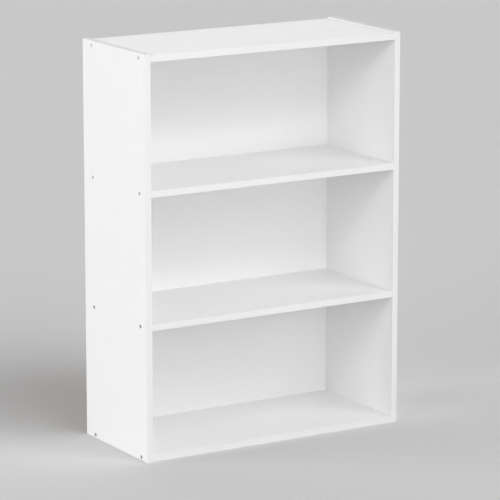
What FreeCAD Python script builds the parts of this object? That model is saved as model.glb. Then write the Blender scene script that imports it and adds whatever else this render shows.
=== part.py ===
import FreeCAD, Part
import os

# An open bookcase with three equal compartments: two sides, four horizontal boards screwed between them,
# and a thin back nailed on behind. Millimetres. +Z is up, +X is to the right seen from the front, and the
# front faces -Y. The origin is on the floor, at the middle of the outline.

# Carcass
overall_width = 580.0
clear_height = 249.0  # free height of each compartment
board_thickness = 12.5
board_depth = 247.0  # from the face of the front edging to the rear edge
top_set_down = 3.0  # from the upper ends of the sides down to the top panel
edging_thickness = 0.5
edging_round = 0.3  # radius of the edging's outer arrises
edging_round_limit = 0.9  # the most of the edging's thickness that the radius may take

# Back
back_thickness = 3.0
back_inset = 1.5  # from the outline of the carcass in to the edge of the back

# Countersunk wood screws, through the sides into the ends of the horizontal boards
screw_from_front = 24.0
screw_from_rear = 36.0
screw_length = 40.0
screw_head_diameter = 7.0
screw_head_rim = 0.4  # height of the straight band round the head
screw_head_sink = 0.3  # depth of the head below the side's outer face
screw_shank_diameter = 3.0
screw_plain_length = 13.0  # from the face of the head to the start of the thread
screw_thread_diameter = 4.0
screw_core_diameter = 2.6
screw_thread_pitch = 1.8
screw_tip_length = 4.0
recess_length = 4.0  # tip to tip of the cross at the face of the head
recess_floor_length = 1.4
recess_width = 0.9
recess_depth = 1.8
head_clearance = 0.1  # round the head, in its pocket
side_hole_clearance = 0.2  # round the thread, where it passes through a side
pilot_clearance = 0.05  # round the thread, in the end of a board
pilot_spare = 1.0  # past the tip of the screw

# Nails, through the back into the rear edges of the boards
nail_length = 20.0
nail_diameter = 1.4
nail_tip_length = 2.5
nail_head_diameter = 3.4
nail_head_thickness = 0.6
nail_hole_clearance = 0.05
nail_hole_spare = 0.5  # past the tip of the nail
nails_per_side = 5
nails_per_board = 3
side_nail_from_end = 40.0  # first and last nail, from the ends of the side
board_nail_from_end = 60.0  # first and last nail, from the ends of the board

# Worked out from the sizes above
board_names = ("bottom_panel", "lower_shelf", "upper_shelf", "top_panel")
board_step = board_thickness + clear_height
board_low = {name: index * board_step for index, name in enumerate(board_names)}
top_of_boards = board_low["top_panel"] + board_thickness
side_height = top_of_boards + top_set_down
half_width = overall_width / 2
inner_half_width = half_width - board_thickness
overall_depth = board_depth + back_thickness + nail_head_thickness
front_y = -overall_depth / 2
core_front_y = front_y + edging_thickness
rear_y = front_y + board_depth
back_rear_y = rear_y + back_thickness
screw_places_y = (front_y + screw_from_front, rear_y - screw_from_rear)

X = FreeCAD.Vector(1, 0, 0)
Y = FreeCAD.Vector(0, 1, 0)
Z = FreeCAD.Vector(0, 0, 1)
ORIGIN = FreeCAD.Vector(0, 0, 0)
SIDES = {"left": -1, "right": 1}


def box_between(low, high):
    """A box given by its lowest and its highest corner."""
    size = high - low
    return Part.makeBox(size.x, size.y, size.z, low)


def turned(profile):
    """The solid that a closed outline of (distance along X, radius) points sweeps round the X axis."""
    points = [FreeCAD.Vector(along, radius, 0) for along, radius in profile]
    face = Part.Face(Part.makePolygon(points + points[:1]))
    return face.revolve(ORIGIN, X, 360)


def drilled(board, tools):
    """A board with holes of the given shapes."""
    return board.cut(tools).Solids[0]


def evenly_spaced(low, high, count):
    step = (high - low) / (count - 1)
    return [low + index * step for index in range(count)]


def at_side(shape, hand, y, z):
    """A shape drawn along +X, set into a side from outside: hand is -1 on the left and 1 on the right."""
    placed = shape.copy()
    if hand > 0:
        placed.rotate(ORIGIN, Z, 180)
    placed.translate(FreeCAD.Vector(hand * half_width, y, z))
    return placed


def at_back(shape, x, z):
    """A shape drawn along +X, set into the back from behind."""
    placed = shape.copy()
    placed.rotate(ORIGIN, Z, -90)
    placed.translate(FreeCAD.Vector(x, back_rear_y, z))
    return placed


def make_screw():
    """A countersunk screw along +X, whose head lies just below the face at X = 0."""
    head = screw_head_diameter / 2
    shank = screw_shank_diameter / 2
    core = screw_core_diameter / 2
    crest = screw_thread_diameter / 2
    face = screw_head_sink
    under_rim = face + screw_head_rim
    thread_start = face + screw_plain_length
    tip = face + screw_length
    turns = int((tip - screw_tip_length - thread_start) / screw_thread_pitch)
    profile = [(face, 0), (face, head), (under_rim, head), (under_rim + head - shank, shank)]
    profile.append((thread_start, shank))
    for turn in range(turns):
        root = thread_start + turn * screw_thread_pitch
        profile.append((root, core))
        profile.append((root + screw_thread_pitch / 2, crest))
    profile.append((thread_start + turns * screw_thread_pitch, core))
    profile.append((tip, 0))
    return turned(profile).cut(cross_recess(face)).Solids[0]


def cross_recess(face):
    """Two tapering slots that cross on the X axis, sunk from the face of a screw's head."""
    half = recess_length / 2
    half_floor = recess_floor_length / 2
    floor = face + recess_depth
    outline = [(face, -half), (face, half), (floor, half_floor), (floor, -half_floor)]
    points = [FreeCAD.Vector(x, y, -recess_width / 2) for x, y in outline]
    slot = Part.Face(Part.makePolygon(points + points[:1])).extrude(Z * recess_width)
    across = slot.copy()
    across.rotate(ORIGIN, X, 90)
    return slot.fuse(across)


def make_screw_hole():
    """The room for one screw along +X: pocket, countersink, hole through the side and pilot hole."""
    head = screw_head_diameter / 2
    crest = screw_thread_diameter / 2
    through = crest + side_hole_clearance
    pilot = crest + pilot_clearance
    pocket = head + head_clearance
    under_rim = screw_head_sink + screw_head_rim
    end = screw_head_sink + screw_length + pilot_spare
    return turned([
        (0, 0), (0, pocket), (under_rim, pocket), (under_rim, head), (under_rim + head - through, through),
        (board_thickness, through), (board_thickness, pilot), (end, pilot), (end, 0),
    ])


def make_nail():
    """A nail along +X, whose head stands behind the face at X = 0."""
    head = nail_head_diameter / 2
    shank = nail_diameter / 2
    taper = nail_length - nail_tip_length
    return turned([
        (-nail_head_thickness, 0), (-nail_head_thickness, head), (0, head), (0, shank), (taper, shank),
        (nail_length, 0),
    ])


def make_nail_hole():
    """The room for one nail's shank along +X."""
    radius = nail_diameter / 2 + nail_hole_clearance
    return Part.makeCylinder(radius, nail_length + nail_hole_spare, ORIGIN, X)


def side_screws(shape, hand, name):
    """A copy of a shape for each screw that joins one side to one horizontal board."""
    middle = board_low[name] + board_thickness / 2
    return [at_side(shape, hand, y, middle) for y in screw_places_y]


def side_nails(shape, hand):
    """A copy of a shape for each nail in the rear edge of one side."""
    x = hand * (half_width - board_thickness / 2)
    heights = evenly_spaced(side_nail_from_end, side_height - side_nail_from_end, nails_per_side)
    return [at_back(shape, x, z) for z in heights]


def board_nails(shape, name):
    """A copy of a shape for each nail in the rear edge of one horizontal board."""
    reach = inner_half_width - board_nail_from_end
    middle = board_low[name] + board_thickness / 2
    return [at_back(shape, x, middle) for x in evenly_spaced(-reach, reach, nails_per_board)]


def side_panel(hand):
    """One side, full height, with its screw holes and its nail holes."""
    edges = sorted((hand * inner_half_width, hand * half_width))
    low = FreeCAD.Vector(edges[0], core_front_y, 0)
    high = FreeCAD.Vector(edges[1], rear_y, side_height - edging_thickness)
    holes = side_nails(nail_hole, hand)
    for name in board_names:
        holes += side_screws(screw_hole, hand, name)
    return drilled(box_between(low, high), holes)


def horizontal_board(name):
    """A shelf, the top or the bottom: it fits between the sides and is drilled in both ends."""
    low = FreeCAD.Vector(-inner_half_width, core_front_y, board_low[name])
    high = FreeCAD.Vector(inner_half_width, rear_y, board_low[name] + board_thickness)
    holes = board_nails(nail_hole, name)
    for hand in SIDES.values():
        holes += side_screws(screw_hole, hand, name)
    return drilled(box_between(low, high), holes)


def back_panel():
    """The thin back, behind the rear edges of all six boards."""
    reach = half_width - back_inset
    low = FreeCAD.Vector(-reach, rear_y, back_inset)
    high = FreeCAD.Vector(reach, back_rear_y, top_of_boards - back_inset)
    holes = []
    for hand in SIDES.values():
        holes += side_nails(nail_hole, hand)
    for name in board_names:
        holes += board_nails(nail_hole, name)
    return drilled(box_between(low, high), holes)


def edging_strip(corner, across, outward, along):
    """A strip as wide as a board is thick, with its two outer arrises rounded, carried along a board's edge.

    corner is on the board's edge, across and outward are unit directions, and along is the whole length."""
    radius = min(edging_round, edging_round_limit * edging_thickness)
    inset = radius * (1 - 0.5 ** 0.5)  # from the square corner to the middle of the quarter circle

    def point(distance_across, distance_out):
        return corner + across * distance_across + outward * distance_out

    wide = board_thickness
    out = edging_thickness
    path = [
        Part.LineSegment(point(wide, 0), point(0, 0)),
        Part.LineSegment(point(0, 0), point(0, out - radius)),
        Part.Arc(point(0, out - radius), point(inset, out - inset), point(radius, out)),
        Part.LineSegment(point(radius, out), point(wide - radius, out)),
        Part.Arc(point(wide - radius, out), point(wide - inset, out - inset), point(wide, out - radius)),
        Part.LineSegment(point(wide, out - radius), point(wide, 0)),
    ]
    outline = Part.Wire([piece.toShape() for piece in path])
    return Part.Face(outline).extrude(along)


def side_front_edging(hand):
    corner = FreeCAD.Vector(hand * inner_half_width, core_front_y, 0)
    return edging_strip(corner, X * hand, -Y, Z * side_height)


def side_top_edging(hand):
    corner = FreeCAD.Vector(hand * inner_half_width, core_front_y, side_height - edging_thickness)
    return edging_strip(corner, X * hand, Z, Y * (rear_y - core_front_y))


def board_edging(name):
    corner = FreeCAD.Vector(-inner_half_width, core_front_y, board_low[name])
    return edging_strip(corner, Z, -Y, X * (2 * inner_half_width))


screw = make_screw()
screw_hole = make_screw_hole()
nail = make_nail()
nail_hole = make_nail_hole()

nodes = {"back_panel": back_panel()}
for side, hand in SIDES.items():
    nodes[side + "_side_panel"] = side_panel(hand)
    nodes[side + "_side_front_edging"] = side_front_edging(hand)
    nodes[side + "_side_top_edging"] = side_top_edging(hand)
    nodes[side + "_side_back_nails"] = Part.makeCompound(side_nails(nail, hand))
for name in board_names:
    nodes[name] = horizontal_board(name)
    nodes[name + "_edging"] = board_edging(name)
    nodes[name + "_back_nails"] = Part.makeCompound(board_nails(nail, name))
    for side, hand in SIDES.items():
        nodes[name + "_" + side + "_screws"] = Part.makeCompound(side_screws(screw, hand, name))

os.makedirs("parts", exist_ok=True)
for node, shape in nodes.items():
    shape.exportStep("parts/" + node + ".step")
print(len(nodes), "nodes,", overall_width, "wide,", overall_depth, "deep,", side_height, "high")
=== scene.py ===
# %% [markdown]
# # A white open bookcase
# The object is a flat-pack bookcase: two sides, four level boards screwed between them and a thin back
# nailed on behind. The boards are chipboard under a white paper foil, and white plastic strips close the
# edges that show. The CAD model already has the right shapes, so most of this lesson is about finishes.
# Only the screws are made anew, because the CAD ones carry plain rings where a real screw has a thread
# that climbs.

# %% Load the frame
import math
import bpy
import numpy as np
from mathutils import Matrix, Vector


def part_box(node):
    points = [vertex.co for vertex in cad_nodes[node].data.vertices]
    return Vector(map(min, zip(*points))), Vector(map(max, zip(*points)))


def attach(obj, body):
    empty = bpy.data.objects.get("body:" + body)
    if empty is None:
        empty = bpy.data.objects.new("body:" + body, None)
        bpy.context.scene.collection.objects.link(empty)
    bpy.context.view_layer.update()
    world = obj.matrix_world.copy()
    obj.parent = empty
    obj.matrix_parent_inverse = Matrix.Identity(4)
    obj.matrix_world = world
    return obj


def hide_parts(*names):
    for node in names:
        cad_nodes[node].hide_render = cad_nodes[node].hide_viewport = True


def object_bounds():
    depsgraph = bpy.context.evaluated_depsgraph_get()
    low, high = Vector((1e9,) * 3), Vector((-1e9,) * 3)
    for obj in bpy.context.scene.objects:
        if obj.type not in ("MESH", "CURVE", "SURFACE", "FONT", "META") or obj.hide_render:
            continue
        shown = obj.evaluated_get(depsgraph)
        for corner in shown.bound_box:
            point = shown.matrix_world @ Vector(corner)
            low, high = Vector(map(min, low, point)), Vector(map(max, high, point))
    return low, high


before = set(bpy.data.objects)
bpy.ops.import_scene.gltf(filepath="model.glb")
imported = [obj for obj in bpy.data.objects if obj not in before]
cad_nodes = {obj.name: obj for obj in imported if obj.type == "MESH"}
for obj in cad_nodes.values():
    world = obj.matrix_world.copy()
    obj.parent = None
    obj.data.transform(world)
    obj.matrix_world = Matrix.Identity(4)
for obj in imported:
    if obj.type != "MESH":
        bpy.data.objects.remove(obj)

scene = bpy.context.scene
scene.view_settings.view_transform = "Standard"
cad_box = [list(corner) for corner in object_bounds()]
cad_size = [high - low for low, high in zip(*cad_box)]
print(len(cad_nodes), "CAD nodes, size in metres:", [round(length, 4) for length in cad_size])

# %% [markdown]
# ## The camera
# The bookcase is seen from its left, from above its top, and from far away through a long lens, so its
# edges hardly run together. A camera can be placed by three coordinates and a turn, but it is easier to
# check when it is given as a photographer would say it: where it aims, how far off it stands, and how far
# round and how high.

# %% Place the camera
sensor_width = 36.0  # millimetres
lens_length = 224.0  # millimetres
sight_limit = 200.0  # metres
view_round = -31.19  # degrees from straight in front; negative is to the left
view_height = 12.39  # degrees above level
view_distance = 6.199  # metres
aim = np.array([0.0096, -0.0141, 0.3682])


def direction_from(round_angle, height_angle):
    """The unit direction from the object to something that stands at these angles:
    x = sin round cos height, y = -cos round cos height, z = sin height."""
    turn = math.radians(round_angle)
    rise = math.radians(height_angle)
    level = math.cos(rise)
    return np.array([math.sin(turn) * level, -math.cos(turn) * level, math.sin(rise)])


def face_object(thing, round_angle, height_angle):
    """Turns a camera or lamp that stands at these angles to face the object. Unturned it looks straight
    down, so 90 degrees about x bring it level, and its height is taken off that."""
    thing.rotation_euler = (math.radians(90 - height_angle), 0.0, math.radians(round_angle))


camera_data = bpy.data.cameras.new("camera")
camera_data.sensor_width = sensor_width
camera_data.lens = lens_length
camera_data.clip_end = sight_limit
camera = bpy.data.objects.new("camera", camera_data)
camera.location = aim + view_distance * direction_from(view_round, view_height)
face_object(camera, view_round, view_height)
scene.collection.objects.link(camera)
scene.camera = camera
print("camera at", [round(value, 3) for value in camera.location])

# %% [markdown]
# ## The light
# Studio light on white furniture is broad and soft. Small lamps would draw hard edges into the
# compartments, so most lamps here are suns with wide discs, which light the whole floor alike and leave
# only soft shadows. Two softboxes stand close, because only a lamp that is near makes the upper
# compartments brighter than the lowest. The high one is small, so that each board's slanting shadow shows
# on the inside of the right side. A lamp's brightness is that of a white sheet that faces it, and its
# strength is worked out from that.

# %% Softboxes
softboxes = [  # name, degrees round, metres high, metres off, metres across, brightness
    ("front_softbox", 0.0, 0.6, 2.0, 0.8, 0.238),
    ("high_left_softbox", -30.0, 2.0, 2.0, 0.35, 0.120),
]
softbox_aim = np.array([0.0, 0.0, 0.45])


def hang(data, round_angle, height_angle):
    """A lamp object that shines from the given direction towards the object."""
    lamp = bpy.data.objects.new(data.name, data)
    face_object(lamp, round_angle, height_angle)
    scene.collection.objects.link(lamp)
    return lamp


def hang_softbox(name, round_angle, height, reach, across, brightness):
    """A disc of light near the object. A white sheet at its aim is as bright as its power divided by
    pi squared times the distance squared."""
    rise = height - softbox_aim[2]
    distance = math.hypot(reach, rise)
    height_angle = math.degrees(math.atan2(rise, reach))
    data = bpy.data.lights.new(name, "AREA")
    data.shape = "DISK"
    data.size = across
    data.energy = brightness * math.pi ** 2 * distance ** 2
    lamp = hang(data, round_angle, height_angle)
    lamp.location = softbox_aim + distance * direction_from(round_angle, height_angle)
    lamp.visible_camera = False
    return lamp


flagged_lamps = [hang_softbox(*softbox) for softbox in softboxes]
print(len(softboxes), "softboxes")

# %% Suns
suns = [  # name, degrees round, degrees high, degrees across, brightness, whether it lights the floor
    ("front_right", 20.0, 35.0, 60.0, 0.309, True),
    ("front_right_high", 28.0, 46.0, 25.0, 0.132, True),
    ("left_low", -70.0, 12.0, 30.0, 0.291, True),
    ("rear_left_low", -115.0, 5.0, 40.0, 0.741, True),
    ("right_low", 95.0, 10.0, 50.0, 0.50, False),
    ("rear_right", 150.0, 35.0, 90.0, 0.171, True),
]


def hang_sun(name, round_angle, height_angle, across, brightness):
    """A disc of light that is infinitely far off. A white sheet that faces it is as bright as its strength
    divided by pi."""
    data = bpy.data.lights.new(name, "SUN")
    data.energy = brightness * math.pi
    data.angle = math.radians(across)
    return hang(data, round_angle, height_angle)


for *sun, lights_floor in suns:
    lamp = hang_sun(*sun)
    if not lights_floor:
        flagged_lamps.append(lamp)
print(len(suns), "suns;", len(flagged_lamps), "lamps will be kept off the floor")

# %% [markdown]
# ## Small helpers for nodes
# A material is a graph of nodes. It could be drawn by hand in the Shader Editor, but a script can be read
# and run again. Written out in full, each node takes several lines, so short helpers keep the graphs
# readable: two add a node and fill its sockets, and the others add one node each and give back what it
# puts out.

# %% Node helpers


def add_node(tree, kind, **settings):
    """Adds a node and sets its options."""
    node = tree.nodes.new(kind)
    for name, value in settings.items():
        setattr(node, name, value)
    return node


def feed(tree, socket, value):
    """Links a socket to another socket, or sets it to a plain value."""
    if isinstance(value, bpy.types.NodeSocket):
        tree.links.new(value, socket)
    else:
        socket.default_value = value


def calculate(tree, operation, *values):
    """The result of one Math node."""
    node = add_node(tree, "ShaderNodeMath", operation=operation)
    for socket, value in zip(node.inputs, values):
        feed(tree, socket, value)
    return node.outputs["Value"]


def calculate_vector(tree, operation, *values):
    """The outputs of one Vector Math node."""
    node = add_node(tree, "ShaderNodeVectorMath", operation=operation)
    for socket, value in zip(node.inputs, values):
        feed(tree, socket, value)
    return node.outputs


def split(tree, vector):
    """The X, Y and Z outputs of a vector."""
    node = add_node(tree, "ShaderNodeSeparateXYZ")
    feed(tree, node.inputs["Vector"], vector)
    return node.outputs


print("node helpers ready")

# %% Blending helpers


def ramp_between(tree, value, start, end):
    """0 at start and before it, 1 at end and past it, and a smooth step between."""
    node = add_node(tree, "ShaderNodeMapRange", interpolation_type="SMOOTHSTEP")
    feed(tree, node.inputs["Value"], value)
    feed(tree, node.inputs["From Min"], start)
    feed(tree, node.inputs["From Max"], end)
    return node.outputs["Result"]


def blend_colours(tree, share, first, second, way="MIX"):
    """The first colour where share is 0; where it is 1, the second, or the two joined the given way."""
    node = add_node(tree, "ShaderNodeMix", data_type="RGBA", blend_type=way)
    factor, first_colour, second_colour = (node.inputs[index] for index in (0, 6, 7))
    feed(tree, factor, share)
    feed(tree, first_colour, first)
    feed(tree, second_colour, second)
    return node.outputs[2]


def blend_values(tree, share, first, second):
    """The first number where share is 0, the second where it is 1."""
    node = add_node(tree, "ShaderNodeMix", data_type="FLOAT")
    factor, first_value, second_value = (node.inputs[index] for index in (0, 2, 3))
    feed(tree, factor, share)
    feed(tree, first_value, first)
    feed(tree, second_value, second)
    return node.outputs[0]


def blend_shaders(tree, share, first, second):
    """The first shader where share is 0, the second where it is 1."""
    node = add_node(tree, "ShaderNodeMixShader")
    for socket, value in zip(node.inputs, (share, first, second)):
        feed(tree, socket, value)
    return node.outputs["Shader"]


print("blending helpers ready")

# %% [markdown]
# ## The floor and the room
# The bookcase stands on a plain pale grey floor. The floor could end in a curved backdrop, but from other
# sides its curve would show, so it is simply wide: far off it fades into the colour of the world behind
# it, and there is no horizon. The world lights the object evenly from above. What the camera and shiny
# metal see is told apart from what lights the object with the Light Path node: the world then looks like
# the floor, and the floor, whose bounce would fill the lowest compartment, can bounce less. The softboxes
# and the lamp on the right are flagged off the floor, as a photographer does with a black card, so that it
# stays one even grey.

# %% Lay the floor
MM = 0.001
floor_reach = 150.0
floor_drop = 0.2 * MM  # keeps the floor and the undersides of the boards from lying in one plane

floor_mesh = bpy.data.meshes.new("floor")
corners = np.array([[-1, -1, 0], [1, -1, 0], [1, 1, 0], [-1, 1, 0]]) * floor_reach - [0, 0, floor_drop]
floor_mesh.from_pydata(corners.tolist(), [], [(0, 1, 2, 3)])
floor = bpy.data.objects.new("floor", floor_mesh)
scene.collection.objects.link(floor)
print("floor", 2 * floor_reach, "m across")

# %% Flag lamps off the floor
flagged_off = bpy.data.collections.new("flagged_off")
flagged_off.objects.link(floor)
flagged_off.collection_objects[0].light_linking.link_state = "EXCLUDE"
for lamp in flagged_lamps:
    lamp.light_linking.receiver_collection = flagged_off
print("kept off the floor:", ", ".join(lamp.name for lamp in flagged_lamps))

# %% Paint the floor
floor_colour = (0.83, 0.83, 0.83, 1.0)
floor_bounce = (0.45, 0.45, 0.45, 1.0)
room_colour = (0.579, 0.579, 0.579, 1.0)  # what the lit floor comes out as
fade_start = 7.0
fade_end = 30.0


def seen_rays(tree):
    """1 for rays from the camera, in a reflection or through glass, 0 for rays that gather light."""
    path = add_node(tree, "ShaderNodeLightPath").outputs
    plain = calculate(tree, "MAXIMUM", path["Is Camera Ray"], path["Is Glossy Ray"])
    return calculate(tree, "MAXIMUM", plain, path["Is Transmission Ray"])


floor_paint = bpy.data.materials.new("floor_paint")
floor_paint.use_nodes = True
paint = floor_paint.node_tree
matt = paint.nodes["Principled BSDF"]
matt.inputs["Roughness"].default_value = 1.0
matt.inputs["Specular IOR Level"].default_value = 0.0
floor_seen = seen_rays(paint)
feed(paint, matt.inputs["Base Color"], blend_colours(paint, floor_seen, floor_bounce, floor_colour))
floor_place = add_node(paint, "ShaderNodeTexCoord").outputs["Object"]
distance_off = calculate_vector(paint, "LENGTH", floor_place)["Value"]
far_off = ramp_between(paint, distance_off, fade_start, fade_end)
far_floor = add_node(paint, "ShaderNodeEmission")
far_floor.inputs["Color"].default_value = room_colour
far_share = calculate(paint, "MULTIPLY", far_off, floor_seen)
faded = blend_shaders(paint, far_share, matt.outputs["BSDF"], far_floor.outputs["Emission"])
feed(paint, paint.nodes["Material Output"].inputs["Surface"], faded)
floor_mesh.materials.append(floor_paint)
print("floor fades out from", fade_start, "to", fade_end, "m off")

# %% Set the world
sky_colour = (1.0, 1.0, 1.0, 1.0)
sky_brightness = 0.17

world = bpy.data.worlds.new("room")
world.use_nodes = True
scene.world = world
room = world.node_tree
sky = room.nodes["Background"]
sky.inputs["Color"].default_value = sky_colour
sky.inputs["Strength"].default_value = sky_brightness
backdrop = add_node(room, "ShaderNodeBackground")
backdrop.inputs["Color"].default_value = room_colour
chosen = blend_shaders(room, seen_rays(room), sky.outputs["Background"], backdrop.outputs["Background"])
feed(room, room.nodes["World Output"].inputs["Surface"], chosen)
print("the world lights with", sky_brightness, "and is seen as", room_colour[0])

# %% [markdown]
# ## Effects that several finishes share
# A white board isn't one white. The foil is pressed against a plate with a fine pebble pattern, its paper
# varies a little from place to place, and its gloss is duller where it was handled. These could be
# pictures laid over the boards, but noise worked out from the place on the piece has no seams and stays
# sharp close up. Each effect is a node group that gives back a height, a colour or a mask, so that every
# finish can use it with its own sizes.

# %% Group helpers


def start_group(name, takes, gives):
    """An empty node group with the named inputs and outputs, and the sockets to build between."""
    group = bpy.data.node_groups.new(name, "ShaderNodeTree")
    for socket_name, kind in takes:
        group.interface.new_socket(socket_name, in_out="INPUT", socket_type="NodeSocket" + kind)
    for socket_name, kind in gives:
        group.interface.new_socket(socket_name, in_out="OUTPUT", socket_type="NodeSocket" + kind)
    return group, group.nodes.new("NodeGroupInput").outputs, group.nodes.new("NodeGroupOutput").inputs


def use_group(tree, group, values):
    """Places a group in a material with its own values and returns the group's outputs."""
    node = add_node(tree, "ShaderNodeGroup", node_tree=group)
    for name, value in values.items():
        feed(tree, node.inputs[name], value)
    return node.outputs


print("group helpers ready")

# %% Pattern helpers


def even(size):
    """A size that is the same along x, y and z."""
    return (size, size, size)


def divide_place(tree, place, size):
    """Places counted in steps of a size, which may differ along x, y and z."""
    return calculate_vector(tree, "DIVIDE", place, size)["Vector"]


def cloud(tree, place, detail=2.0, roughness=0.5, curl=0.0, lumps_per_step=1.0):
    """The outputs of a noise with so many lumps to a step, bent into curls where curl is over 0."""
    node = add_node(tree, "ShaderNodeTexNoise")
    feed(tree, node.inputs["Vector"], place)
    feed(tree, node.inputs["Scale"], lumps_per_step)
    feed(tree, node.inputs["Detail"], detail)
    feed(tree, node.inputs["Roughness"], roughness)
    feed(tree, node.inputs["Distortion"], curl)
    return node.outputs


def cells(tree, place, feature="F1"):
    """The outputs of a cell pattern whose cells are about one step wide."""
    node = add_node(tree, "ShaderNodeTexVoronoi", feature=feature)
    feed(tree, node.inputs["Vector"], place)
    feed(tree, node.inputs["Scale"], 1.0)
    return node.outputs


def red_part(tree, colour):
    """The red of a colour, which for a cell's random colour is a random number."""
    node = add_node(tree, "ShaderNodeSeparateColor")
    feed(tree, node.inputs["Color"], colour)
    return node.outputs["Red"]


def ramp_colours(tree, value, stops):
    """The colour at a value, between stops that each have a value and a colour."""
    node = add_node(tree, "ShaderNodeValToRGB")
    elements = node.color_ramp.elements
    elements.remove(elements[1])
    elements[0].position, elements[0].color = stops[0]
    for position, colour in stops[1:]:
        elements.new(position).color = colour
    feed(tree, node.inputs["Fac"], value)
    return node.outputs["Color"]


print("pattern helpers ready")

# %% Pebble pattern
dimple_height = 0.5  # beside lumps of height 1

pebble, given, result = start_group(
    "pebble_pattern", [("Place", "Vector"), ("Pebble Size", "Vector")], [("Height", "Float")])
steps = divide_place(pebble, given["Place"], given["Pebble Size"])
lumps = cloud(pebble, steps, roughness=0.55)["Fac"]
dimples = cells(pebble, steps, feature="SMOOTH_F1")["Distance"]
feed(pebble, result["Height"], calculate(pebble, "MULTIPLY_ADD", dimples, dimple_height, lumps))
print("group", pebble.name)

# %% Slow change of tone
lightest_noise = 0.3
darkest_noise = 0.7

drift, given, result = start_group(
    "tone_drift",
    [("Place", "Vector"), ("Patch Size", "Vector"), ("Light", "Color"), ("Dark", "Color")],
    [("Colour", "Color"), ("Share", "Float")])
steps = divide_place(drift, given["Place"], given["Patch Size"])
patches = cloud(drift, steps, detail=4.0, roughness=0.6)["Fac"]
dark_share = ramp_between(drift, patches, lightest_noise, darkest_noise)
feed(drift, result["Colour"], blend_colours(drift, dark_share, given["Light"], given["Dark"]))
feed(drift, result["Share"], dark_share)
print("group", drift.name)

# %% [markdown]
# A board's two wide faces carry the foil, and the edges without a strip are bare chipboard. Both are one
# CAD mesh, so the finish has to tell the faces apart. Each face could have a material slot of its own, but
# a CAD mesh is left as it is, so the surface's own direction does it: it is compared with the axis that
# runs through the board's thickness.

# %% Mask for faces along an axis
oblique = 0.85  # how far a face's direction agrees with the axis where the mask starts
square_on = 0.95  # and where it is full

facing, given, result = start_group(
    "face_mask",
    [("Direction", "Vector"), ("Axis", "Vector")],
    [("Along Axis", "Float"), ("Forward", "Float")])
agreement = calculate_vector(facing, "DOT_PRODUCT", given["Direction"], given["Axis"])["Value"]
either_way = calculate(facing, "ABSOLUTE", agreement)
feed(facing, result["Along Axis"], ramp_between(facing, either_way, oblique, square_on))
feed(facing, result["Forward"], ramp_between(facing, agreement, oblique, square_on))
print("group", facing.name)

# %% [markdown]
# Chipboard shows flat flakes of wood pressed together, thin across the board and longer along it, with
# finer chips between them. A cell pattern makes good flakes when the place is first squeezed by the
# flake's size, and each cell brings its own random colour. Left like that they lie as evenly as bricks, so
# the place is also bent by noise.

# %% Chipboard
bends_per_flake = 0.7
bend_reach = 1.6  # in flakes
fine_chip = 0.37  # in flakes
fine_chip_share = 0.4  # of the colour
wood_stops = [
    (0.1, (0.31, 0.20, 0.108, 1.0)), (0.45, (0.49, 0.35, 0.21, 1.0)), (0.9, (0.62, 0.47, 0.31, 1.0))]
gap_colour = (0.22, 0.14, 0.075, 1.0)
gap_start = 0.6  # from the middle of a flake, in flakes
gap_full = 1.0

chips, given, result = start_group(
    "chipboard",
    [("Place", "Vector"), ("Flake Size", "Vector")],
    [("Colour", "Color"), ("Height", "Float")])
straight = divide_place(chips, given["Place"], given["Flake Size"])
bend = cloud(chips, straight, lumps_per_step=bends_per_flake)["Color"]
bent = calculate_vector(chips, "MULTIPLY_ADD", bend, even(bend_reach), straight)["Vector"]
flake = cells(chips, bent)
fine = cells(chips, divide_place(chips, bent, even(fine_chip)))
flake_tone = red_part(chips, flake["Color"])
fine_tone = red_part(chips, fine["Color"])
wood_tone = blend_values(chips, fine_chip_share, flake_tone, fine_tone)
wood = ramp_colours(chips, wood_tone, wood_stops)
gap = ramp_between(chips, flake["Distance"], gap_start, gap_full)
feed(chips, result["Colour"], blend_colours(chips, gap, wood, gap_colour))
grit = cloud(chips, bent, detail=3.0, roughness=0.6)["Fac"]
feed(chips, result["Height"], calculate(chips, "SUBTRACT", grit, gap))
print("group", chips.name)

# %% [markdown]
# ## Boards
# The foil on the boards is a clean, nearly neutral white with a low satin shine. The sides are thin along
# x and the level boards along z, so one function makes both finishes, and the axis and the flakes turn
# with the board. Where the sides stand up past the top panel, the low rim on their inner faces is greyed
# with painted shade. It could be a strip of mesh, but a mask needs no room: an inner face looks towards
# the middle of the bookcase, so there its direction and its place have opposite signs along x.

# %% A way to start a finish


def start_finish(name):
    """A new material, its node tree, its shader and its texture coordinates."""
    finish = bpy.data.materials.new(name)
    finish.use_nodes = True
    tree = finish.node_tree
    return finish, tree, tree.nodes["Principled BSDF"], add_node(tree, "ShaderNodeTexCoord").outputs


def set_bump(tree, shader, height, depth):
    """Raises the shading by a height pattern, where a height of 1 is the given depth in metres."""
    bump = add_node(tree, "ShaderNodeBump")
    bump.inputs["Strength"].default_value = 1.0
    bump.inputs["Distance"].default_value = depth
    feed(tree, bump.inputs["Height"], height)
    feed(tree, shader.inputs["Normal"], bump.outputs["Normal"])


def dress(names, finish):
    """Gives CAD nodes a finish."""
    for name in names:
        cad_nodes[name].material_slots[0].material = finish
    print(finish.name, "on", ", ".join(names))


print("finish helpers ready")

# %% Rim in painted shade
rim_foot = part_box("top_panel")[1].z
rim_softness = 0.5 * MM
facing_in_start = -0.1  # metres from the middle times direction, along x
facing_in_full = -0.2


def rim_shade_mask(tree, place, direction):
    """1 where painted shade greys the rim: on the faces that look inwards, above the top panel, and 0
    elsewhere.
    """
    place_times_direction = calculate_vector(tree, "MULTIPLY", place, direction)["Vector"]
    sideways = split(tree, place_times_direction)["X"]
    inward = ramp_between(tree, sideways, facing_in_start, facing_in_full)
    height = split(tree, place)["Z"]
    above = ramp_between(tree, height, rim_foot - rim_softness, rim_foot + rim_softness)
    return calculate(tree, "MULTIPLY", inward, above)


print("rim starts", round(rim_foot / MM, 1), "mm up")

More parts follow.
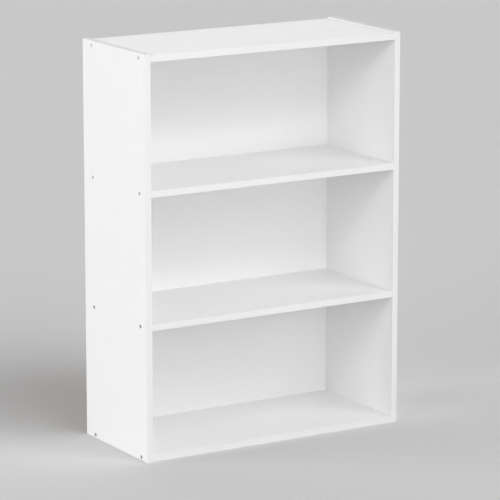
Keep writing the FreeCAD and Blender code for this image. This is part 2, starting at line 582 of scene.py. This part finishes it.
# %% Board finish
foil_light = (0.924, 0.924, 0.922, 1.0)
foil_dark = (0.907, 0.908, 0.908, 1.0)
# painted shade: the grey that the low rim above the top panel is given
painted_rim_shade = (0.66, 0.655, 0.645, 1.0)
foil_patch = 160 * MM
foil_pebble = 0.9 * MM
foil_roughness = 0.40
handled_roughness = 0.50
chip_roughness = 0.9
chip_depth = 0.12 * MM
pebble_share = 0.12  # the pebble's height beside the chips' height


def board_finish(name, axis, flake_size, rim_shaded):
    """White foil on the faces across the axis, bare chipboard on the others, and a rim in painted shade or
    none.
    """
    finish, tree, shader, where = start_finish(name)
    place = where["Object"]
    foil = use_group(tree, facing, {"Direction": where["Normal"], "Axis": axis})["Along Axis"]
    tone = use_group(tree, drift, {
        "Place": place, "Patch Size": even(foil_patch), "Light": foil_light, "Dark": foil_dark})
    press = use_group(tree, pebble, {"Place": place, "Pebble Size": even(foil_pebble)})
    bare = use_group(tree, chips, {"Place": place, "Flake Size": flake_size})
    colour = blend_colours(tree, foil, bare["Colour"], tone["Colour"])
    # the rim above the top panel is greyed with painted shade
    if rim_shaded:
        colour = blend_colours(tree, rim_shade_mask(tree, place, where["Normal"]), colour, painted_rim_shade)
    feed(tree, shader.inputs["Base Color"], colour)
    foil_gloss = blend_values(tree, tone["Share"], foil_roughness, handled_roughness)
    feed(tree, shader.inputs["Roughness"], blend_values(tree, foil, chip_roughness, foil_gloss))
    pressed = calculate(tree, "MULTIPLY", press["Height"], pebble_share)
    set_bump(tree, shader, blend_values(tree, foil, bare["Height"], pressed), chip_depth)
    return finish


print("foil varies from", foil_dark[:3], "to", foil_light[:3])

# %% Dress the boards
flake_thickness = 0.7 * MM
flake_width = 2.6 * MM
sides = ["left", "right"]
level_boards = ["bottom_panel", "lower_shelf", "upper_shelf", "top_panel"]

side_foil = board_finish(
    "side_board_foil", (1.0, 0.0, 0.0), (flake_thickness, flake_width, flake_width), rim_shaded=True)
level_foil = board_finish(
    "level_board_foil", (0.0, 0.0, 1.0), (flake_width, flake_width, flake_thickness), rim_shaded=False)
dress([side + "_side_panel" for side in sides], side_foil)
dress(level_boards, level_foil)

# %% [markdown]
# ## Edging
# The strips are thin white plastic, pressed on with glue and trimmed. They are a little smoother than the
# foil, with faint lines along their length from the press rollers, and a thin darker line where the glue
# shows beside the board. The lines are the foil's pebbles drawn out along the strip. The glue could be a
# thin piece of mesh, but it lies on one plane, so a mask on that plane is enough.

# %% A thin line on a plane
line_core = 0.3  # the share of the line's width that is fully dark

seam, given, result = start_group(
    "seam_line",
    [("Place", "Vector"), ("Axis", "Vector"), ("Plane", "Float"), ("Width", "Float")],
    [("Line", "Float")])
along = calculate_vector(seam, "DOT_PRODUCT", given["Place"], given["Axis"])["Value"]
offset = calculate(seam, "ABSOLUTE", calculate(seam, "SUBTRACT", along, given["Plane"]))
beside = ramp_between(seam, calculate(seam, "DIVIDE", offset, given["Width"]), line_core, 1.0)
feed(seam, result["Line"], calculate(seam, "SUBTRACT", 1.0, beside))
print("group", seam.name)

# %% Edging finish
glue_colour = (0.62, 0.60, 0.56, 1.0)
glue_width = 0.14 * MM
strip_patch = 100 * MM
line_depth = 0.008 * MM
line_roughness = 0.12  # what the roller lines add to the strip's own roughness


def edging_finish(name, light, dark, roughness, line_size, glue_axis, glue_plane):
    """White plastic with lines along the strip, and a glue line on the plane where it meets the board."""
    finish, tree, shader, where = start_finish(name)
    place = where["Object"]
    tone = use_group(tree, drift, {
        "Place": place, "Patch Size": even(strip_patch), "Light": light, "Dark": dark})
    lines = use_group(tree, pebble, {"Place": place, "Pebble Size": line_size})["Height"]
    glue = use_group(tree, seam, {
        "Place": place, "Axis": glue_axis, "Plane": glue_plane, "Width": glue_width})["Line"]
    feed(tree, shader.inputs["Base Color"], blend_colours(tree, glue, tone["Colour"], glue_colour))
    lined = blend_values(tree, lines, roughness, roughness + line_roughness)
    feed(tree, shader.inputs["Roughness"], lined)
    set_bump(tree, shader, lines, line_depth)
    return finish


print("glue lines", round(glue_width / MM, 2), "mm wide")

# %% Dress the strips
strip_light = (0.845, 0.845, 0.844, 1.0)
strip_dark = (0.823, 0.823, 0.823, 1.0)
strip_roughness = 0.36
end_light = (0.79, 0.79, 0.785, 1.0)
end_dark = (0.75, 0.75, 0.745, 1.0)
end_roughness = 0.60
roller_line = 0.5 * MM
roller_run = 60 * MM
front_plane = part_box("left_side_front_edging")[1].y
top_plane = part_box("left_side_top_edging")[0].z

upright_strip = edging_finish(
    "upright_edging", strip_light, strip_dark, strip_roughness,
    (roller_line, roller_line, roller_run), (0.0, 1.0, 0.0), front_plane)
level_strip = edging_finish(
    "level_edging", strip_light, strip_dark, strip_roughness,
    (roller_run, roller_line, roller_line), (0.0, 1.0, 0.0), front_plane)
end_strip = edging_finish(
    "side_top_edging", end_light, end_dark, end_roughness,
    (roller_line, roller_run, roller_line), (0.0, 0.0, 1.0), top_plane)
dress([side + "_side_front_edging" for side in sides], upright_strip)
dress([side + "_side_top_edging" for side in sides], end_strip)
dress([board + "_edging" for board in level_boards], level_strip)

# %% [markdown]
# ## Back sheet
# The back is thin hardboard: lacquered white where it faces the compartments, and left brown behind, where
# the wire mesh of the press has printed a fine square grid into the fibres. The grid could be modelled
# wire by wire, but it is too fine and shallow to show in an outline, so two waves multiplied give it to
# the bump. The fibres are noise drawn out two ways, and the lacquer has the foil's pebbles as orange peel.

# %% Hardboard
long_fibre = 2.2 * MM
thin_fibre = 0.7 * MM
fibre_curl = 1.4
brown_stops = [(0.35, (0.135, 0.072, 0.034, 1.0)), (0.75, (0.36, 0.215, 0.112, 1.0))]
stain_size = 90 * MM
stain_dark = (0.70, 0.68, 0.66, 1.0)
stain_light = (1.15, 1.15, 1.15, 1.0)
grid_share = 0.35  # the grid's height beside the fibres' height

fibre_board, given, result = start_group(
    "hardboard",
    [("Place", "Vector"), ("Mesh Size", "Vector")],
    [("Colour", "Color"), ("Height", "Float")])


def fibres(size):
    """Curled threads of noise, drawn out by the given size."""
    drawn_out = divide_place(fibre_board, given["Place"], size)
    return cloud(fibre_board, drawn_out, detail=4.0, roughness=0.6, curl=fibre_curl)["Fac"]


level_fibres = fibres((long_fibre, long_fibre, thin_fibre))
upright_fibres = fibres((thin_fibre, long_fibre, long_fibre))
felt = calculate(fibre_board, "MAXIMUM", level_fibres, upright_fibres)
brown = ramp_colours(fibre_board, felt, brown_stops)
stain_place = divide_place(fibre_board, given["Place"], even(stain_size))
stain_share = cloud(fibre_board, stain_place, detail=3.0)["Fac"]
stain = blend_colours(fibre_board, stain_share, stain_dark, stain_light)
feed(fibre_board, result["Colour"], blend_colours(fibre_board, 1.0, brown, stain, way="MULTIPLY"))
mesh_place = divide_place(fibre_board, given["Place"], given["Mesh Size"])
wave = split(fibre_board, calculate_vector(fibre_board, "SINE", mesh_place)["Vector"])
grid = calculate(fibre_board, "MULTIPLY", wave["X"], wave["Z"])
feed(fibre_board, result["Height"], calculate(fibre_board, "MULTIPLY_ADD", grid, grid_share, felt))
print("group", fibre_board.name)

# %% Back finish
lacquer_light = (0.926, 0.926, 0.924, 1.0)
lacquer_dark = (0.904, 0.904, 0.904, 1.0)
lacquer_patch = 200 * MM
peel_size = 1.4 * MM
lacquer_roughness = 0.42
dull_lacquer_roughness = 0.52
bare_roughness = 0.85
bare_depth = 0.2 * MM
peel_share = 0.1  # the orange peel's height beside the bare side's height
mesh_pitch = 1.6 * MM  # between neighbouring wires of the press's mesh
mesh_step = mesh_pitch / math.pi  # makes half a wave as long as the pitch

back_finish, tree, shader, where = start_finish("back_sheet_lacquer")
place = where["Object"]
front = use_group(tree, facing, {"Direction": where["Normal"], "Axis": (0.0, -1.0, 0.0)})["Forward"]
tone = use_group(tree, drift, {
    "Place": place, "Patch Size": even(lacquer_patch), "Light": lacquer_light, "Dark": lacquer_dark})
peel = use_group(tree, pebble, {"Place": place, "Pebble Size": even(peel_size)})["Height"]
bare = use_group(tree, fibre_board, {"Place": place, "Mesh Size": even(mesh_step)})
feed(tree, shader.inputs["Base Color"], blend_colours(tree, front, bare["Colour"], tone["Colour"]))
lacquer_gloss = blend_values(tree, tone["Share"], lacquer_roughness, dull_lacquer_roughness)
feed(tree, shader.inputs["Roughness"], blend_values(tree, front, bare_roughness, lacquer_gloss))
peel_height = calculate(tree, "MULTIPLY", peel, peel_share)
set_bump(tree, shader, blend_values(tree, front, bare["Height"], peel_height), bare_depth)
dress(["back_panel"], back_finish)

# %% [markdown]
# ## Steel
# The screws are zinc plated and the nails are bright drawn wire. Both are metal with a fine grain that
# breaks up the shine. The zinc is darkened towards the floor with a painted reflection of the shaded
# floor near the base, and painted shade darkens a screw's cross. Both could be painted by hand, but a mask
# follows every screw by itself: its height, and how far a place lies in from the face of the head, which is
# the same measure on the left and on the right.

# %% Steel grain
brightest_noise = 0.3
dullest_noise = 0.75

steel, given, result = start_group(
    "steel_grain",
    [("Place", "Vector"), ("Grain Size", "Vector"), ("Bright", "Color"), ("Dull", "Color")],
    [("Colour", "Color"), ("Grain", "Float")])
steps = divide_place(steel, given["Place"], given["Grain Size"])
grain = cloud(steel, steps, detail=4.0, roughness=0.65)["Fac"]
dull_share = ramp_between(steel, grain, brightest_noise, dullest_noise)
feed(steel, result["Colour"], blend_colours(steel, dull_share, given["Bright"], given["Dull"]))
feed(steel, result["Grain"], grain)
print("group", steel.name)

# %% Screw finish
grain_depth = 0.02 * MM
zinc_bright = (0.82, 0.83, 0.85, 1.0)
zinc_dull = (0.66, 0.67, 0.68, 1.0)
zinc_grain = 0.5 * MM
zinc_smooth = 0.25
zinc_rough = 0.55
# painted reflection of shade: the low screws are darkened towards the floor
painted_low_shade = (0.40, 0.40, 0.40, 1.0)  # what is left of the zinc's brightness near the floor
low_shade_start = cad_box[1][2]
low_shade_full = 0.1  # metres up
# painted shade in a screw's cross
painted_cross_shade = (0.10, 0.10, 0.10, 1.0)
cross_shade_start = 0.15 * MM
cross_shade_full = 1.2 * MM
head_face = -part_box("top_panel_left_screws")[0].x  # from the middle of the bookcase

screw_finish, tree, shader, where = start_finish("zinc_screw")
place = where["Object"]
shader.inputs["Metallic"].default_value = 1.0
plated = use_group(tree, steel, {
    "Place": place, "Grain Size": even(zinc_grain), "Bright": zinc_bright, "Dull": zinc_dull})
spot = split(tree, place)
# painted reflection of the shaded floor: the zinc darkens towards the floor
low_shade_share = ramp_between(tree, spot["Z"], low_shade_start, low_shade_full)
zinc = blend_colours(tree, low_shade_share, plated["Colour"], painted_low_shade, way="MULTIPLY")
# painted shade, darker the deeper a place lies in the cross
depth_in = calculate(tree, "SUBTRACT", head_face, calculate(tree, "ABSOLUTE", spot["X"]))
cross_shade_share = ramp_between(tree, depth_in, cross_shade_start, cross_shade_full)
feed(tree, shader.inputs["Base Color"], blend_colours(tree, cross_shade_share, zinc, painted_cross_shade))
feed(tree, shader.inputs["Roughness"], blend_values(tree, plated["Grain"], zinc_smooth, zinc_rough))
set_bump(tree, shader, plated["Grain"], grain_depth)
print("screw heads", round(head_face / MM, 2), "mm from the middle")

# %% Nail finish
wire_bright = (0.55, 0.54, 0.53, 1.0)
wire_dull = (0.33, 0.32, 0.31, 1.0)
wire_grain = (0.4 * MM, 1.6 * MM, 0.4 * MM)  # drawn out along the nail
wire_smooth = 0.30
wire_rough = 0.60

nail_finish, tree, shader, where = start_finish("wire_nail")
shader.inputs["Metallic"].default_value = 1.0
drawn = use_group(tree, steel, {
    "Place": where["Object"], "Grain Size": wire_grain, "Bright": wire_bright, "Dull": wire_dull})
feed(tree, shader.inputs["Base Color"], drawn["Colour"])
feed(tree, shader.inputs["Roughness"], blend_values(tree, drawn["Grain"], wire_smooth, wire_rough))
set_bump(tree, shader, drawn["Grain"], grain_depth)
dress([side + "_side_back_nails" for side in sides], nail_finish)
dress([board + "_back_nails" for board in level_boards], nail_finish)

# %% [markdown]
# ## Screws
# Two countersunk screws join each level board to each side. A screw could be modelled by cutting, but it
# is neater as one surface: rings of points round an axis, where the distance along the axis and the radius
# are both functions of the ring and the angle. On the face of the head the rings are no circles: they
# follow the outline of the cross, so its walls come out straight. The thread is a ridge on the core that
# climbs as it turns.

# %% Screw sizes
screw_low, screw_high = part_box("top_panel_left_screws")
screw_length = screw_high.x - screw_low.x
head_radius = (screw_high.z - screw_low.z) / 2
rim_height = 0.4 * MM
rim_round = 0.12 * MM
shank_radius = 1.5 * MM
core_radius = 1.3 * MM
crest_radius = 2.0 * MM
thread_start = 13.0 * MM
thread_pitch = 1.8 * MM
tip_length = 4.0 * MM
cross_reach = 2.0 * MM
cross_half_width = 0.45 * MM
cross_depth = 1.8 * MM
cross_floor_share = 0.35  # the cross's size on its floor, as a share of its size at the face
mouth_bevel = 0.05 * MM
print("screw", round(screw_length / MM, 2), "mm long, head", round(2 * head_radius / MM, 2), "mm")

# %% Cross in the head
arm_end_steps = 2  # across half the end of an arm
arm_side_steps = 4
wall_rings = 6
face_rings = 6
near_zero = 1e-9  # keeps a division by zero away


def cross_angles():
    """Angles of one full turn that meet every corner of the cross: an eighth of a turn, with its outer
    corner at atan(half width / reach), is mirrored and repeated."""
    outer_corner = math.atan2(cross_half_width, cross_reach)
    end_of_arm = np.linspace(0, outer_corner, arm_end_steps + 1)
    side_of_arm = np.linspace(outer_corner, math.pi / 4, arm_side_steps + 1)
    eighth = np.concatenate([end_of_arm, side_of_arm[1:]])
    quarter = np.concatenate([eighth[:-1], math.pi / 2 - eighth[:0:-1]])
    return np.concatenate([quarter + turn * math.pi / 2 for turn in range(4)])


def cross_outline(angle):
    """Distance from the middle to the edge of a cross. On one bar it is the smaller of reach / |cos| and
    half width / |sin|, on the other the same with sin and cos exchanged, and the cross takes the larger
    of the two."""
    along_y = np.maximum(abs(np.cos(angle)), near_zero)
    along_z = np.maximum(abs(np.sin(angle)), near_zero)
    first_bar = np.minimum(cross_reach / along_y, cross_half_width / along_z)
    second_bar = np.minimum(cross_reach / along_z, cross_half_width / along_y)
    return np.maximum(first_bar, second_bar)


def head_rings(angle):
    """Distances along the axis and radii on the face of the head. From the floor of the cross to its mouth
    the outline grows evenly as the distance falls to a small bevel, and on the flat face it turns evenly
    into the circle of the rim."""
    outline = cross_outline(angle)
    sunk = np.linspace(1, 0, wall_rings)[:, None]
    wall_radius = outline * (1 - (1 - cross_floor_share) * sunk)
    wall_along = mouth_bevel + (cross_depth - mouth_bevel) * sunk + 0 * angle
    spread = np.linspace(0, 1, face_rings)[:, None]
    mouth = outline + mouth_bevel
    face_radius = mouth + (head_radius - rim_round - mouth) * spread
    return np.concatenate([wall_along, 0 * face_radius]), np.concatenate([wall_radius, face_radius])


screw_angles = cross_angles()
print(len(screw_angles), "angles round a screw")

# %% Shank and thread
rim_rings = 4
cone_rings = 6
rings_per_turn = 12
tip_rings = 18


def shank_rings(angle):
    """Distances along the axis and radii behind the face: a quarter circle rounds the rim, a cone leads to
    the shank, the core follows, and the tip closes in along a straight line.

    Along the core the radius grows by a ridge of (1 - cos phase) / 2, squared, where the phase is a full
    turn times distance / pitch, less the angle, so the ridge climbs as a helix. It swells over the first
    pitch and dies away along the tip."""
    cone_end = rim_height + head_radius - shank_radius
    tip_start = screw_length - tip_length
    turns = (tip_start - thread_start) / thread_pitch
    bend = np.linspace(0, np.pi / 2, rim_rings + 1)[1:]
    cone = np.linspace(0, 1, cone_rings)
    core = np.linspace(thread_start, tip_start, int(turns * rings_per_turn))
    tip = np.linspace(0, 1, tip_rings + 2)[1:-1]
    along = np.concatenate([
        rim_round * (1 - np.cos(bend)), rim_height + cone * (cone_end - rim_height),
        [thread_start - thread_pitch], core, tip_start + tip * tip_length])
    radius = np.concatenate([
        head_radius - rim_round * (1 - np.sin(bend)), head_radius + cone * (shank_radius - head_radius),
        [shank_radius], 0 * core + core_radius, core_radius * (1 - tip)])
    along = along[:, None] + 0 * angle
    threaded = np.clip((along - thread_start) / thread_pitch, 0, 1)
    threaded = threaded * np.clip((screw_length - along) / tip_length, 0, 1)
    phase = 2 * np.pi * along / thread_pitch - angle
    ridge = (0.5 - 0.5 * np.cos(phase)) ** 2
    return along, radius[:, None] + threaded * ridge * (crest_radius - core_radius)


print("thread from", round(thread_start / MM, 1), "mm, pitch", round(thread_pitch / MM, 1), "mm")

# %% Screw surface


def screw_surface(turn):
    """Points, quads and end triangles of one screw along +x, turned about its axis, with the face of its
    head at x = 0.

    A point is (distance, radius cos angle, radius sin angle); a single point closes each end."""
    head_along, head_radii = head_rings(screw_angles)
    shank_along, shank_radii = shank_rings(screw_angles)
    along = np.concatenate([head_along, shank_along])
    radius = np.concatenate([head_radii, shank_radii])
    angle = screw_angles + turn
    points = np.stack([along, radius * np.cos(angle), radius * np.sin(angle)], axis=2).reshape(-1, 3)
    poles = np.array([[cross_depth, 0, 0], [screw_length, 0, 0]])
    rings, spokes = along.shape
    spoke = np.arange(spokes)
    after = (spoke + 1) % spokes
    here = np.arange(rings - 1)[:, None] * spokes
    quads = np.stack([here + spoke, here + after, here + after + spokes, here + spoke + spokes], axis=2)
    count = len(points)
    last = (rings - 1) * spokes
    start_fan = np.stack([np.full(spokes, count), after, spoke], axis=1)
    end_fan = np.stack([np.full(spokes, count + 1), last + spoke, last + after], axis=1)
    return np.concatenate([points, poles]), quads.reshape(-1, 4), np.concatenate([start_fan, end_fan])


sample_points, sample_quads, sample_fans = screw_surface(0.0)
print("a screw:", len(sample_points), "points,", len(sample_quads), "quads,", len(sample_fans), "triangles")

# %% Set the screws into the sides
golden_turn = math.pi * (3 - math.sqrt(5))  # leaves each cross at another turn, as a hand does
sharp_edge = 38.0  # degrees; a flatter edge is shaded smooth
hands = [-1, 1]  # the sign of x on the left and on the right


def place_screws(name, hand, index):
    """One mesh with both screws of a node, which run in from the side's outer face at the node's own place.
    On the right they take a half turn about z: x and y change sign."""
    low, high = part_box(name)
    outer = low.x if hand < 0 else high.x
    points = []
    faces = []
    for number, y in enumerate((low.y + head_radius, high.y - head_radius)):
        surface, quads, fans = screw_surface((2 * index + number) * golden_turn)
        start = sum(len(part) for part in points)
        points.append(surface * [-hand, -hand, 1] + [outer, y, (low.z + high.z) / 2])
        faces += (quads + start).tolist() + (fans + start).tolist()
    mesh = bpy.data.meshes.new(name + "_threaded")
    mesh.from_pydata(np.concatenate(points).tolist(), [], faces)
    mesh.set_sharp_from_angle(angle=math.radians(sharp_edge))
    mesh.polygons.foreach_set("use_smooth", np.ones(len(mesh.polygons), bool))
    mesh.materials.append(screw_finish)
    piece = bpy.data.objects.new(name + "_threaded", mesh)
    scene.collection.objects.link(piece)
    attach(piece, "root")
    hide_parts(name)
    return piece


screws = []
for board in level_boards:
    for side, hand in zip(sides, hands):
        screws.append(place_screws(board + "_" + side + "_screws", hand, len(screws)))
print(len(screws), "pairs of screws,", sum(len(piece.data.polygons) for piece in screws), "faces")
